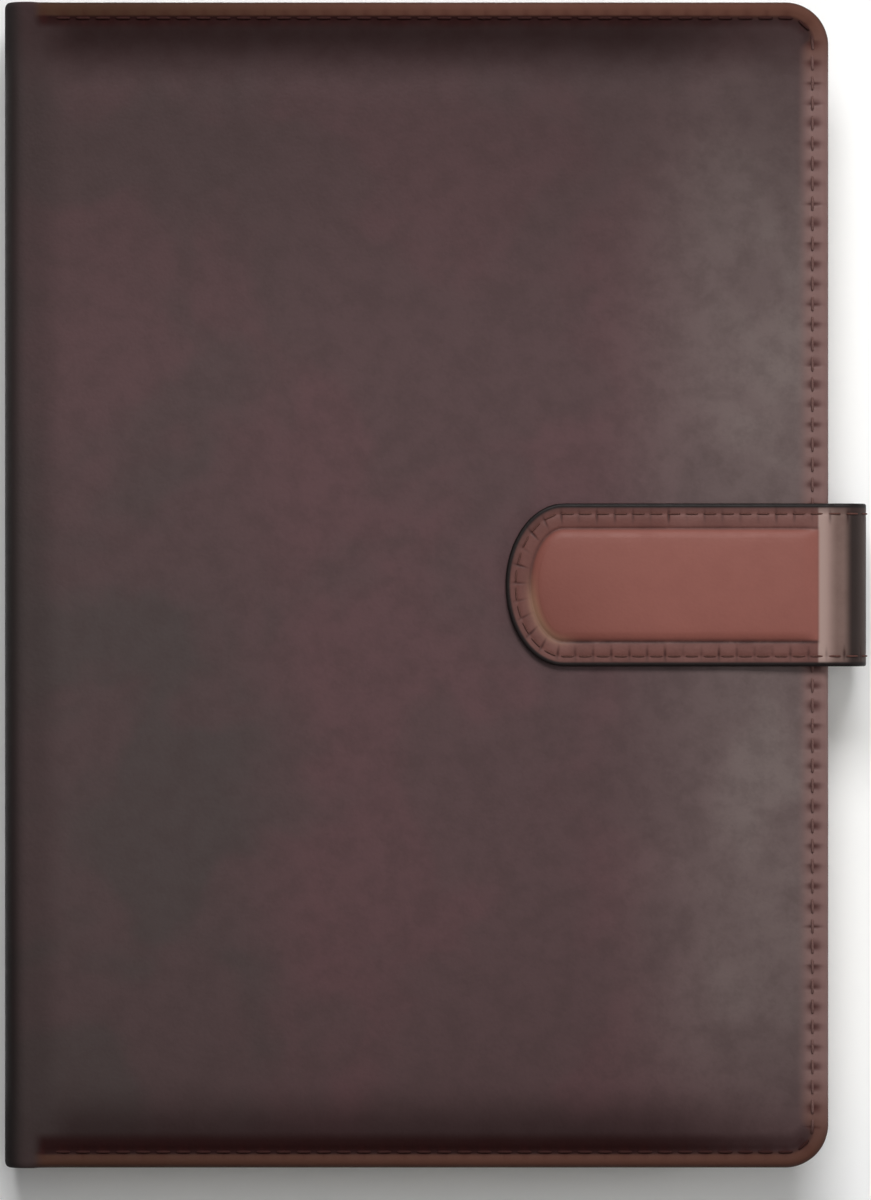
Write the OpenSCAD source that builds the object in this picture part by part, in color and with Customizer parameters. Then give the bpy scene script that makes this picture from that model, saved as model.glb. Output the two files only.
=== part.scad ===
// A padded, soft-bound A5 diary with a magnetic closing strap.
// It lies on its back cover: +X points to the fore-edge, +Y to the head and
// +Z up through the front cover. The origin is the centre of the back face.

/* [Covers] */
// Height of the covers, head to tail
cover_l = 215; // [160:1:300]
// Width of the closed diary, spine to fore-edge
cover_w = 152; // [115:1:220]
// Radius of the two outer corners of a cover
corner_r = 8; // [5:0.5:12]
// Thickness of the leatherette skin
skin_t = 0.8; // [0.6:0.05:1]
// Thickness of a cover board
board_t = 1.8; // [1.7:0.1:3]
// Thickness of the foam under the skin
foam_t = 1; // [0.8:0.1:2]
// Thickness of the lining pasted inside a cover
lining_t = 0.4; // [0.2:0.05:0.6]
// Distance from a cover's edge to its line of stitches
rim_w = 3; // [2.5:0.1:4]
// Width of the groove that the stitches pull into the skin
groove_w = 1; // [0.8:0.1:1.4]
// Depth of that groove
groove_d = 0.3; // [0.2:0.05:0.4]
// Width over which the padding rises from the groove to its full height
shoulder_w = 8; // [6:0.5:14]
// Width of the skin that is turned in around the board
turn_in_w = 12; // [8:0.5:16]
// Thickness of the pared-down turned-in skin
turn_in_t = 0.5; // [0.3:0.05:0.5]
// Margin of turned-in skin that the lining leaves showing
lining_margin = 4; // [3:0.5:6]

/* [Pages] */
// Thickness of the leaves and both endpapers together
pages_t = 15.6; // [10:0.2:30]
// Thickness of one endpaper
endpaper_t = 0.25; // [0.15:0.05:0.4]
// How far the covers reach past the leaves on three sides
square_w = 2.5; // [2:0.1:4]
// Radius of the outer corners of the leaves
page_r = 6; // [3:0.5:9]
// Diameter of the cloth bead at the head and tail of the spine
bead_d = 1.8; // [1.2:0.1:2]

/* [Spine] */
// Outer radius of the spine's two long corners
spine_r = 3; // [2.5:0.1:4]
// Thickness of the card that stiffens the spine
spine_card_t = 1; // [0.6:0.1:1.2]
// Thickness of the glued gauze on the backs of the leaves
gauze_t = 0.3; // [0.2:0.05:0.4]
// Distance that the gauze stops short of the head and the tail
gauze_margin = 12; // [6:1:25]
// Width of the bare skin between a spine corner and its cover
hinge_w = 4; // [3.9:0.1:6]

/* [Strap] */
// Width of the strap
strap_w = 29; // [20:0.5:40]
// How far the strap's end laps over the front cover
lap_l = 59.6; // [45:0.2:75]
// Length over which the strap's end is rounded
tip_l = 10.8; // [6:0.2:16]
// How far the strap stands out past the fore-edge
bulge = 7; // [6:0.2:10]
// Outer radius of the strap's bends
bend_r = 4; // [3:0.1:4.5]
// Distance of the strap's crease from the fore-edge
crease_x = 1.5; // [1:0.1:2]
// Thickness of the strap's outer skin
strap_skin_t = 0.8; // [0.6:0.05:0.8]
// Thickness of the strap's lining
strap_lining_t = 0.4; // [0.3:0.05:0.4]
// Thickness of the pad inside the lap
pad_t = 1; // [0.8:0.1:1.2]
// Width of the flat border around the padded panel
border_w = 4.6; // [3.6:0.1:6]
// Distance of the panel's inner end from the crease
panel_end = 3.6; // [3:0.1:6]
// Slope width of the panel's edge
panel_slope = 0.7; // [0.5:0.1:1]
// Length of the strap that is sewn into the back cover
tail_l = 18; // [12:0.5:30]

/* [Magnets] */
// Diameter of the two hidden closing magnets
magnet_d = 14; // [8:0.5:16]
// Thickness of each magnet
magnet_t = 0.9; // [0.6:0.1:1]
// Distance of the magnets' centre from the strap's tip
magnet_from_tip = 22; // [16:0.5:30]

/* [Stitching] */
// Distance from one stitch to the next
stitch_pitch = 3.7; // [3:0.1:5]
// Bare length between two stitches
stitch_gap = 0.7; // [0.5:0.1:1]
// Diameter of the thread
thread_d = 0.5; // [0.4:0.05:0.6]
// Distance of the strap's stitches from its edge
strap_stitch_in = 1.9; // [1.4:0.1:2.4]

/* [Clearances] */
// Running clearance between a cover and the leaves
cover_gap = 0.2; // [0.2:0.05:0.5]
// Clearance between the strap and the front cover
strap_gap = 0.3; // [0.3:0.05:0.6]
// Glue line between pieces that are stuck together
glue = 0.05; // [0.02:0.01:0.08]

/* [Hidden] */
$fn = 48;

// Extra length of a cutting body past the face it cuts
cut = 1;
// Thickness of the slices that a rounded shoulder is drawn through
slice = 0.01;
// Smallest corner radius of the padding
pad_corner = 3;

// Colours, as the photograph shows them
skin_colour = [0.30, 0.24, 0.23];
strap_colour = [0.48, 0.33, 0.31];
panel_colour = [0.54, 0.35, 0.31];
thread_colour = [0.36, 0.22, 0.20];
lining_colour = [0.24, 0.19, 0.18];
board_colour = [0.60, 0.56, 0.50];
foam_colour = [0.88, 0.86, 0.80];
paper_colour = [0.94, 0.91, 0.83];
gauze_colour = [0.90, 0.88, 0.84];
bead_colour = [0.55, 0.16, 0.14];
magnet_colour = [0.70, 0.70, 0.72];

// Thickness of one cover, and of the whole closed diary
cover_t = skin_t + foam_t + board_t + lining_t;
total_t = 2 * cover_t + 2 * cover_gap + pages_t;

// Edges and hinge lines
fore_x = cover_w / 2;
spine_x = -cover_w / 2;
hinge_x = spine_x + spine_r;
plate_x = hinge_x + hinge_w;
half_l = cover_l / 2;

// Heights in the front cover, from its inner face upwards
lining_z = total_t - cover_t;
turn_in_z = lining_z + lining_t;
rebate_z = turn_in_z + turn_in_t;
foam_z = turn_in_z + board_t;
rim_z = foam_z + skin_t;
crown_z = total_t;

// Distance from a cover's edge to the foot of its padding
pad_in = rim_w + groove_w / 2;

// The leaves
block_x = spine_x + skin_t + spine_card_t + gauze_t + 3 * glue;
page_x = fore_x - square_w;
page_y = half_l - square_w;
pages_z = cover_t + cover_gap;

// The strap's heights: its lining's underside, its skin and its top
lap_z = crown_z + strap_gap;
lap_skin_z = lap_z + strap_lining_t;
strap_t = strap_lining_t + strap_skin_t;
lap_top_z = lap_z + strap_t;
crease = fore_x + crease_x;
tip_x = fore_x - lap_l;
outer_x = fore_x + bulge;
tail_z = skin_t + foam_t + glue;
magnet_x = tip_x + magnet_from_tip;
flap_split = 0.1;

// The closed cover's outline, drawn inset from its three free edges
module cover_outline(inset = 0, spine_side = plate_x) {
    r = max(corner_r - inset, pad_corner);
    x1 = fore_x - inset;
    y1 = half_l - inset;
    translate([spine_side, -y1])
        square([x1 - r - spine_side, 2 * y1]);
    translate([spine_side, r - y1])
        square([x1 - spine_side, 2 * (y1 - r)]);
    for (side = [-1, 1])
        translate([x1 - r, side * (y1 - r)])
            circle(r = r);
}

// A flat layer of the cover between two heights
module cover_layer(z0, z1, inset = 0, spine_side = plate_x) {
    translate([0, 0, z0])
        linear_extrude(height = z1 - z0)
            cover_outline(inset, spine_side);
}

// The padded form: a low foot, a rounded shoulder and a flat crown
module padding_form(inset, foot_z, top_z, spine_side = plate_x) {
    rise = top_z - foot_z;
    hull() {
        cover_layer(foot_z, foot_z + slice, inset, spine_side);
        cover_layer(foot_z + 0.62 * rise, foot_z + 0.62 * rise + slice, inset + 0.3 * shoulder_w, spine_side);
        cover_layer(top_z - slice, top_z, inset + shoulder_w, spine_side);
    }
}

// Turns a front cover piece over to make the back cover's
module turned_over() {
    translate([0, 0, total_t])
        mirror([0, 0, 1])
            children();
}

// The skin: face, rim, stitched groove, turned edge and turn-ins
module cover_skin() {
    difference() {
        union() {
            cover_layer(turn_in_z, rim_z);
            padding_form(pad_in, rim_z - groove_d, crown_z);
        }
        cover_layer(rebate_z, foam_z, skin_t, plate_x - cut);
        cover_layer(turn_in_z - cut, rebate_z + slice, turn_in_w, plate_x - cut);
        padding_form(pad_in + skin_t, foam_z - slice, crown_z - skin_t, plate_x - cut);
        difference() {
            cover_layer(rim_z - groove_d, crown_z, rim_w - groove_w / 2, plate_x - cut);
            cover_layer(rim_z - groove_d - cut, crown_z + cut, pad_in, plate_x - 2 * cut);
        }
    }
}

// The foam fills the skin's hollow, a glue line inside it
module cover_foam() {
    intersection() {
        translate([0, 0, -glue])
            padding_form(pad_in + skin_t + glue, foam_z - slice, crown_z - skin_t);
        cover_layer(foam_z + glue / 2, crown_z);
    }
}

// The board, thinner where the skin is turned in around it
module cover_board() {
    cover_layer(rebate_z + glue, foam_z - glue, skin_t + glue);
    cover_layer(turn_in_z + glue, rebate_z + 2 * glue, turn_in_w + glue);
}

// The lining leaves a margin of turned-in skin
module cover_lining() {
    cover_layer(lining_z, turn_in_z, lining_margin);
}

// One stitch, lying along X, centred
module stitch(length) {
    rotate([0, 90, 0])
        cylinder(d = thread_d, h = length, center = true, $fn = 16);
}

// Stitches along a straight run of the given length, centred, along X
module stitch_row(length) {
    count = floor(length / stitch_pitch);
    step = length / count;
    for (i = [0 : count - 1])
        translate([(i + 0.5) * step - length / 2, 0, 0])
            stitch(step - stitch_gap);
}

// Stitches around the groove of one cover
module edge_stitching() {
    z = rim_z - groove_d + thread_d / 2 + glue;
    r = corner_r - rim_w;
    x0 = plate_x + rim_w / 2;
    x1 = fore_x - corner_r;
    side_l = 2 * (half_l - corner_r);
    turns = max(1, round(r * PI / 2 / stitch_pitch));
    for (side = [-1, 1]) {
        translate([(x0 + x1) / 2, side * (half_l - rim_w), z])
            stitch_row(x1 - x0);
        for (i = [0 : turns - 1])
            translate([x1, side * (half_l - corner_r), z])
                rotate([0, 0, side * (i + 0.5) * 90 / turns])
                    translate([r, 0, 0])
                        rotate([0, 0, 90])
                            stitch(r * PI / 2 / turns - stitch_gap);
    }
    translate([fore_x - rim_w, 0, z])
        rotate([0, 0, 90])
            stitch_row(side_l);
}

// A strip of bare skin between the spine and the front cover
module hinge_strip() {
    translate([hinge_x + glue, -half_l, crown_z - skin_t])
        cube([hinge_w - 2 * glue, cover_l, skin_t]);
}

// Shapes drawn in the X-Z plane and carried along Y
module along_y(length) {
    rotate([90, 0, 0])
        linear_extrude(height = length, center = true)
            children();
}

// A quarter of a ring about a centre, in the quadrant given by two signs
module quarter_ring(centre, r_out, r_in, sx, sy) {
    translate(centre)
        intersection() {
            difference() {
                circle(r = r_out);
                circle(r = r_in);
            }
            translate([sx > 0 ? 0 : -r_out, sy > 0 ? 0 : -r_out])
                square([r_out, r_out]);
        }
}

module front_cover_skin() {
    color(skin_colour) cover_skin();
}

module front_cover_foam() {
    color(foam_colour) cover_foam();
}

// The board holds the lower magnet in a round hole
module front_cover_board() {
    color(board_colour)
        difference() {
            cover_board();
            translate([magnet_x, 0, foam_z - magnet_t - 2 * glue])
                cylinder(d = magnet_d + 2 * glue, h = magnet_t + cut);
        }
}

module front_cover_lining() {
    color(lining_colour) cover_lining();
}

module front_edge_stitching() {
    color(thread_colour) edge_stitching();
}

module front_magnet() {
    color(magnet_colour)
        translate([magnet_x, 0, foam_z - magnet_t - glue])
            cylinder(d = magnet_d, h = magnet_t);
}

module front_hinge_skin() {
    color(skin_colour) hinge_strip();
}

// The back skin's edge is slit where the strap's tail goes in
module back_cover_skin() {
    color(skin_colour)
        difference() {
            turned_over() cover_skin();
            translate([fore_x - skin_t - cut, -strap_w / 2 - glue, tail_z - glue])
                cube([skin_t + 2 * cut, strap_w + 2 * glue, strap_t + 2 * glue]);
        }
}

module back_cover_foam() {
    color(foam_colour) turned_over() cover_foam();
}

// The back board is notched so that the strap's tail lies flush in it
module back_cover_board() {
    color(board_colour)
        difference() {
            turned_over() cover_board();
            translate([fore_x - tail_l - glue, -strap_w / 2 - glue, 0])
                cube([tail_l + cut, strap_w + 2 * glue, cover_t]);
        }
}

module back_cover_lining() {
    color(lining_colour) turned_over() cover_lining();
}

module back_edge_stitching() {
    color(thread_colour) turned_over() edge_stitching();
}

module back_hinge_skin() {
    color(skin_colour) turned_over() hinge_strip();
}

// The spine: a flat wall with two long rounded corners
module spine_skin() {
    color(skin_colour)
        along_y(cover_l) {
            translate([spine_x, spine_r])
                square([skin_t, total_t - 2 * spine_r]);
            quarter_ring([hinge_x, total_t - spine_r], spine_r, spine_r - skin_t, -1, 1);
            quarter_ring([hinge_x, spine_r], spine_r, spine_r - skin_t, -1, -1);
        }
}

module spine_card() {
    color(board_colour)
        translate([spine_x + skin_t + glue, skin_t - half_l, spine_r + glue])
            cube([spine_card_t, cover_l - 2 * skin_t, total_t - 2 * spine_r - 2 * glue]);
}

module spine_gauze() {
    color(gauze_colour)
        translate([block_x - gauze_t - glue, gauze_margin - page_y, pages_z + endpaper_t])
            cube([gauze_t, 2 * (page_y - gauze_margin), pages_t - 2 * endpaper_t]);
}

// The outline of one leaf
module leaf_outline() {
    translate([block_x, -page_y])
        square([page_x - page_r - block_x, 2 * page_y]);
    translate([block_x, page_r - page_y])
        square([page_x - block_x, 2 * (page_y - page_r)]);
    for (side = [-1, 1])
        translate([page_x - page_r, side * (page_y - page_r)])
            circle(r = page_r);
}

module page_block() {
    color(paper_colour)
        translate([0, 0, pages_z + endpaper_t])
            linear_extrude(height = pages_t - 2 * endpaper_t)
                leaf_outline();
}

module back_endpaper() {
    color(paper_colour)
        translate([0, 0, pages_z])
            linear_extrude(height = endpaper_t)
                leaf_outline();
}

module front_endpaper() {
    color(paper_colour)
        translate([0, 0, pages_z + pages_t - endpaper_t])
            linear_extrude(height = endpaper_t)
                leaf_outline();
}

// The cloth bead at one end of the spine, on the leaves' edge
module spine_bead(side) {
    color(bead_colour)
        translate([block_x + bead_d / 2, side * (page_y + bead_d / 2 + glue), pages_z + endpaper_t])
            cylinder(d = bead_d, h = pages_t - 2 * endpaper_t);
}

module head_band() {
    spine_bead(1);
}

module tail_band() {
    spine_bead(-1);
}

// One layer of the strap's side, from its tail in the back cover to the crease.
// The layer lies between two depths below the strap's outer face.
module strap_side(depth0, depth1) {
    thick = depth1 - depth0;
    bend_x = outer_x - bend_r;
    low_z = tail_z + bend_r;
    high_z = lap_top_z - bend_r;
    end_x = crease + flap_split;
    along_y(strap_w) {
        translate([fore_x - tail_l, tail_z + depth0])
            square([bend_x - fore_x + tail_l, thick]);
        quarter_ring([bend_x, low_z], bend_r - depth0, bend_r - depth1, 1, -1);
        translate([outer_x - depth1, low_z])
            square([thick, high_z - low_z]);
        quarter_ring([bend_x, high_z], bend_r - depth0, bend_r - depth1, 1, 1);
        translate([end_x, lap_top_z - depth1])
            square([bend_x - end_x, thick]);
    }
}

module strap_tail_skin() {
    color(strap_colour) strap_side(0, strap_skin_t);
}

module strap_tail_lining() {
    color(lining_colour) strap_side(strap_skin_t + glue / 2, strap_t);
}

// Stitches down both edges of the strap's side
module strap_tail_stitching() {
    low_z = tail_z + bend_r;
    high_z = lap_top_z - bend_r;
    color(thread_colour)
        for (side = [-1, 1])
            translate([outer_x + thread_d / 2 + glue, side * (strap_w / 2 - strap_stitch_in), (low_z + high_z) / 2])
                rotate([0, 90, 0])
                    stitch_row(high_z - low_z);
}

// The lap's outline: straight sides and a half-ellipse tip, inset evenly
function lap_points(inset, end_x) =
    let (a = tip_l - inset, b = strap_w / 2 - inset, cx = tip_x + tip_l)
    concat(
        [[end_x, -b]],
        [for (i = [0 : 24]) let (t = -90 - i * 7.5) [cx + a * cos(t), b * sin(t)]],
        [[end_x, b]]
    );

// A flat layer of the lap between two heights
module lap_layer(z0, z1, inset = 0, end_x = crease - flap_split) {
    translate([0, 0, z0])
        linear_extrude(height = z1 - z0)
            polygon(lap_points(inset, end_x));
}

// The raised panel, with sloping sides
module panel_form(inset, end_x, z0, z1) {
    hull() {
        lap_layer(z0, z0 + slice, inset, end_x);
        lap_layer(z1 - slice, z1, inset + panel_slope, end_x - panel_slope);
    }
}

// The lap's skin, raised over the pad
module strap_flap_skin() {
    color(strap_colour)
        difference() {
            union() {
                lap_layer(lap_skin_z + glue / 2, lap_top_z);
                panel_form(border_w, crease - panel_end, lap_top_z - slice, lap_top_z + pad_t);
            }
            panel_form(border_w + strap_skin_t, crease - panel_end - strap_skin_t,
                lap_skin_z - slice, lap_skin_z + pad_t);
        }
}

// The pad fills the raised panel and holds the upper magnet
module strap_flap_pad() {
    color(foam_colour)
        difference() {
            panel_form(border_w + strap_skin_t + glue, crease - panel_end - strap_skin_t - glue,
                lap_skin_z + glue, lap_skin_z + pad_t - glue);
            translate([magnet_x, 0, lap_skin_z - cut])
                cylinder(d = magnet_d + 2 * glue, h = pad_t + 2 * cut);
        }
}

module strap_flap_lining() {
    color(lining_colour) lap_layer(lap_z, lap_skin_z);
}

module strap_flap_magnet() {
    color(magnet_colour)
        translate([magnet_x, 0, lap_skin_z + glue])
            cylinder(d = magnet_d, h = min(magnet_t, pad_t - 2 * glue));
}

// Stitches along the lap's border: two straight rows and the rounded tip
module strap_flap_stitching() {
    b = strap_w / 2 - strap_stitch_in;
    a = tip_l - strap_stitch_in;
    cx = tip_x + tip_l;
    end_x = crease - 2 * strap_stitch_in;
    z = lap_top_z + thread_d / 2 + glue;
    tip_arc = PI * (3 * (a + b) - sqrt((3 * a + b) * (a + 3 * b))) / 2;
    tip_count = round(tip_arc / stitch_pitch);
    color(thread_colour) {
        for (side = [-1, 1])
            translate([(cx + end_x) / 2, side * b, z])
                stitch_row(end_x - cx);
        for (i = [0 : tip_count - 1]) {
            t = 90 + (i + 0.5) * 180 / tip_count;
            translate([cx + a * cos(t), b * sin(t), z])
                rotate([0, 0, atan2(b * cos(t), -a * sin(t))])
                    stitch(tip_arc / tip_count - 1.4 * stitch_gap);
        }
    }
}

front_cover_skin();
front_cover_foam();
front_cover_board();
front_cover_lining();
front_edge_stitching();
front_magnet();
front_hinge_skin();
back_cover_skin();
back_cover_foam();
back_cover_board();
back_cover_lining();
back_edge_stitching();
back_hinge_skin();
spine_skin();
spine_card();
spine_gauze();
page_block();
front_endpaper();
back_endpaper();
head_band();
tail_band();
strap_tail_skin();
strap_tail_lining();
strap_tail_stitching();
strap_flap_skin();
strap_flap_pad();
strap_flap_lining();
strap_flap_stitching();
strap_flap_magnet();
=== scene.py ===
"""A padded leatherette diary with a magnetic strap, lying closed on its back cover.

The frame's +X points to the fore-edge, +Y to the head and +Z up through the front cover.
Shapes are worked out in millimetres and put into their meshes in metres.
"""
import math

import bmesh
import bpy
import numpy as np
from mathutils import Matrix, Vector


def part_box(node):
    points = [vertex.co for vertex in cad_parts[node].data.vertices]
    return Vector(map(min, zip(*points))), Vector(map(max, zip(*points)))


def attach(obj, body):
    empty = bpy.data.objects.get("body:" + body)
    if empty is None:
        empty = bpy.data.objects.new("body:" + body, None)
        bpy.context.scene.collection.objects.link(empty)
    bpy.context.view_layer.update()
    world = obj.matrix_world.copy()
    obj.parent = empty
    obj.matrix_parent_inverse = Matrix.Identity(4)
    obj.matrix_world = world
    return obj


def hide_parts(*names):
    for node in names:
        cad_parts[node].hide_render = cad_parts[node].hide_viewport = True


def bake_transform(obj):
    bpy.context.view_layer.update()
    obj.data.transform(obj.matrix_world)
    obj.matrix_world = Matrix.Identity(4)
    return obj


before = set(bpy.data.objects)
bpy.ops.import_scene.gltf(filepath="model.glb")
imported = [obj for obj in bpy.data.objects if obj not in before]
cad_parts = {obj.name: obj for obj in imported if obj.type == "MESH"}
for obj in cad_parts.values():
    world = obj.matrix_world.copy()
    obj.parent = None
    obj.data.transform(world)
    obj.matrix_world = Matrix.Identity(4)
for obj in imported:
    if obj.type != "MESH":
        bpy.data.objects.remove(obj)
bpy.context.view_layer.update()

MM = 0.001


def box(node):
    """Lowest and highest corner of a CAD node in millimetres."""
    return [np.array(corner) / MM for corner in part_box(node)]


# Places read from the frame
SKIN_LOW, SKIN_HIGH = box("front_cover_skin")
SPINE_LOW, SPINE_HIGH = box("spine_skin")
SIDE_LOW, SIDE_HIGH = box("strap_tail_skin")
LAP_LOW, LAP_HIGH = box("strap_flap_skin")
LEAVES_LOW, LEAVES_HIGH = box("page_block")
SPINE_X, HINGE_X = SPINE_LOW[0], SPINE_HIGH[0]
PLATE_X, FORE_X = SKIN_LOW[0], SKIN_HIGH[0]
HALF_L, TOP_Z, TURN_IN_Z = SKIN_HIGH[1], SKIN_HIGH[2], SKIN_LOW[2]
SPINE_R = HINGE_X - SPINE_X

# Sizes of the covers' finish
CORNER_R = 8.0
EDGE_R = 1.2
STITCH_IN = 3.0
PAD_SLOPE = 17.0
SHELL_T = 0.5
TURN_IN_W = 5.6
HINGE_T = 1.3
SPINE_EDGE_T = 1.8
FINE_W = 18.0
STITCH_PITCH = 3.7
THREAD_R = 0.26
LEAF_CORNER_R = 6.0
LEAF_LEVELS = 96
BEAD_TURNS = 24

# Sizes of the strap's finish
LAP_TOP_Z = SIDE_HIGH[2]
TAIL_X, TAIL_Z, SIDE_X = SIDE_LOW[0], SIDE_LOW[2], SIDE_HIGH[0]
STRAP_B = LAP_HIGH[1] + 0.5
TIP_A = 10.8
BEND_R = 4.0
SKIN_T = 0.8
LINING_T = 0.4
BORDER_W = 4.9
PANEL_RISE = LAP_HIGH[2] - LAP_TOP_Z
PANEL_END_X = LAP_HIGH[0] - 3.5
STRAP_STITCH_IN = 1.9
STRAP_PITCH = 3.3


def srgb(red, green, blue):
    """A colour given as eyes read it, 0 to 255, turned into linear light with full alpha."""
    def linear(value):
        value /= 255
        return value / 12.92 if value <= 0.04045 else ((value + 0.055) / 1.055) ** 2.4
    return (linear(red), linear(green), linear(blue), 1.0)


def smooth(t):
    """A soft step: 0 below 0, 1 above 1, and 3t^2 - 2t^3 between."""
    t = np.clip(t, 0, 1)
    return t * t * (3 - 2 * t)


def hump(t):
    """A bell of height 1 at 0 that falls off as exp(-t^2)."""
    return np.exp(-t * t)


# Colours of the covers' skin
MAUVE, CHARCOAL = srgb(88, 63, 65), srgb(72, 61, 60)
# The grey is a painted sheen by the fore-edge; the speckle is the skin's own
PAINTED_SHEEN_GREY, FINE_SPECKLE = srgb(112, 99, 96), srgb(62, 48, 47)
# Painted shade towards head and tail, beside the groove and by the hinge
PAINTED_SHADE_MAUVE, DEEP_SHADE, HINGE_SHADE = srgb(44, 27, 26), srgb(32, 15, 14), srgb(44, 34, 33)
# The rims are lighter at the fore-edge and darker by the hinge and at the tail, partly as painted light and
# shade
FORE_RIM, END_RIM = srgb(123, 95, 91), srgb(90, 57, 46)
HINGE_RIM, TAIL_RIM = srgb(66, 42, 29), srgb(74, 45, 36)
# Painted shade under the rolled edge, in the groove and in the dents at the stitches
UNDER_RIM_SHADE, GROOVE_SHADE_RED, PUCKER_SHADE_RED = srgb(40, 25, 21), srgb(32, 4, 3), srgb(58, 18, 17)
# Painted shade on the spine's round edges, deeper towards the tail
SPINE_SHADE_HEAD, SPINE_SHADE_TAIL = srgb(36, 32, 31), srgb(18, 15, 14)

# Colours of the strap's skin
BORDER_DARK, BORDER_LIGHT, BORDER_SPECKLE = srgb(104, 65, 59), srgb(111, 73, 67), srgb(88, 54, 49)
# The taupe is a painted sheen where the strap turns over the fore-edge
TAUPE_SHEEN, TAUPE_SHEEN_SPECKLE = srgb(114, 91, 84), srgb(96, 73, 67)
# Painted shade round the bend and a painted highlight on the crease; the side's brown is its own
BEND_SHADE, SIDE_BROWN, CREASE_HIGHLIGHT = srgb(40, 28, 25), srgb(68, 55, 51), srgb(164, 139, 131)
# The dim terracotta is painted shade at the panel's lower left
TERRACOTTA, TERRACOTTA_SPECKLE, TERRACOTTA_SHADE = srgb(135, 82, 73), srgb(128, 77, 69), srgb(112, 64, 56)
# A painted highlight at the tip, and painted shade along the panel's fold and at the stitches
TIP_HIGHLIGHT_PALE, FOLD_SHADE_LINE, STITCH_TICK_SHADE = srgb(160, 122, 98), srgb(46, 20, 18), srgb(48, 24, 22)
# Painted shade and shadow along the strap's edge
SOFT_EDGE_SHADE, EDGE_SHADOW = srgb(58, 36, 33), srgb(20, 11, 10)


# ---- Meshes ----

def quads(rows, cols, first=0):
    """Quads between neighbouring points of a grid whose points are counted row by row."""
    index = np.arange(rows * cols).reshape(rows, cols) + first
    corners = [index[:-1, :-1], index[:-1, 1:], index[1:, 1:], index[1:, :-1]]
    return np.stack(corners, axis=-1).reshape(-1, 4)


def piece(name, slot, points, faces, uv=None, weld=True, rounded=True):
    """A piece at the origin from points in millimetres, faces, and a pair of UV lengths for each point."""
    mesh = bpy.data.meshes.new(name)
    mesh.from_pydata((points.reshape(-1, 3) * MM).tolist(), [], [list(face) for face in faces])
    if uv is not None:
        corner = np.empty(len(mesh.loops), np.int32)
        mesh.loops.foreach_get("vertex_index", corner)
        layer = mesh.uv_layers.new(name="along_and_in")
        layer.data.foreach_set("uv", uv.reshape(-1, 2)[corner].astype(np.float32).ravel())
    if weld:
        shell = bmesh.new()
        shell.from_mesh(mesh)
        bmesh.ops.remove_doubles(shell, verts=shell.verts, dist=0.002 * MM)
        shell.to_mesh(mesh)
        shell.free()
    mesh.polygons.foreach_set("use_smooth", [rounded] * len(mesh.polygons))
    obj = bpy.data.objects.new(name, mesh)
    bpy.context.scene.collection.objects.link(obj)
    return obj


def capsules(centres, along, up, length, radius, arch):
    """Arched capsules for stitches.

    At t from -1 to 1 the middle line is the centre plus t length/2 along and arch (1 - t^2) up.
    The ring round it has the radius times the square root of 1 - t^6, so both ends close.
    """
    t = np.sin(np.linspace(-1, 1, 8) * math.pi / 2)
    turn = np.linspace(0, 2 * math.pi, 7)[None, :, None]
    side = np.cross(along, up)
    middle = centres[:, None] + (t * length / 2)[None, :, None] * along[:, None]
    middle = middle + (arch * (1 - t * t))[None, :, None] * up[:, None]
    size = (radius * np.sqrt(np.clip(1 - t ** 6, 0, 1)))[None, :, None, None]
    ring = np.cos(turn)[None] * side[:, None, None] + np.sin(turn)[None] * up[:, None, None]
    points = middle[:, :, None] + size * ring
    count, rows, cols = points.shape[:3]
    faces = quads(rows, cols)[None] + (np.arange(count) * rows * cols)[:, None, None]
    faces = faces.reshape(-1, 4)[:, ::-1]
    uv = np.zeros((count, rows, cols, 2))
    uv[..., 0] = (t * length / 2)[None, :, None]
    uv[..., 1] = np.linspace(0, 1, cols)[None, None, :]
    return points.reshape(-1, 3), faces, uv


# ---- The case: one skin over both covers and the spine, in two halves that meet on the spine ----

def edge_distance(x, y):
    """Distance from the cover's outline, which is a rectangle with round corners at the fore-edge."""
    from_fore = FORE_X - x
    from_end = HALF_L - np.abs(y)
    corner = CORNER_R - np.hypot(x - FORE_X + CORNER_R, np.abs(y) - HALF_L + CORNER_R)
    in_corner = (from_fore < CORNER_R) & (from_end < CORNER_R)
    return np.where(in_corner, corner, np.minimum(from_fore, from_end))


def seam_length(x, y):
    """Length along the stitch line from its start at the tail by the spine to the place next to a point."""
    centre_x, centre_y = FORE_X - CORNER_R, HALF_L - CORNER_R
    seam_r = CORNER_R - STITCH_IN
    straight = centre_x - PLATE_X
    turn = seam_r * math.pi / 2
    by_end = x - PLATE_X
    angle = np.arctan2(np.clip(np.abs(y) - centre_y, 1e-9, None), np.clip(x - centre_x, 1e-9, None))
    by_corner = straight + seam_r * (math.pi / 2 - angle)
    half = straight + turn + centre_y
    by_fore = half - np.abs(y)
    in_corner = (x > centre_x) & (np.abs(y) > centre_y)
    near_fore = FORE_X - x < HALF_L - np.abs(y)
    length = np.where(in_corner, by_corner, np.where(near_fore, by_fore, by_end))
    return np.where(y < 0, length, 2 * half - length)


def cover_drop(x, y):
    """How far the skin lies below the padded crown: a long soft slope, a shoulder, a groove and a rim."""
    d = edge_distance(x, y)
    rise = smooth((FORE_X - x - STITCH_IN) / PAD_SLOPE) * smooth((HALF_L - np.abs(y) - STITCH_IN) / PAD_SLOPE)
    by_end = smooth((np.abs(y) - HALF_L + 14) / 8)
    shoulder = (0.20 - 0.12 * by_end) * (1 - smooth((d - 3.4) / 3.0))
    groove = (0.10 + 0.13 * by_end) * hump((d - STITCH_IN - 0.3) / 0.75)
    rim = 0.14 * hump((d - 1.4) / 0.7)
    hem = smooth((x - PLATE_X + 0.8) / 3.5)
    return hem * (shoulder + 0.55 * (1 - rise) + groove - rim)


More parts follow.
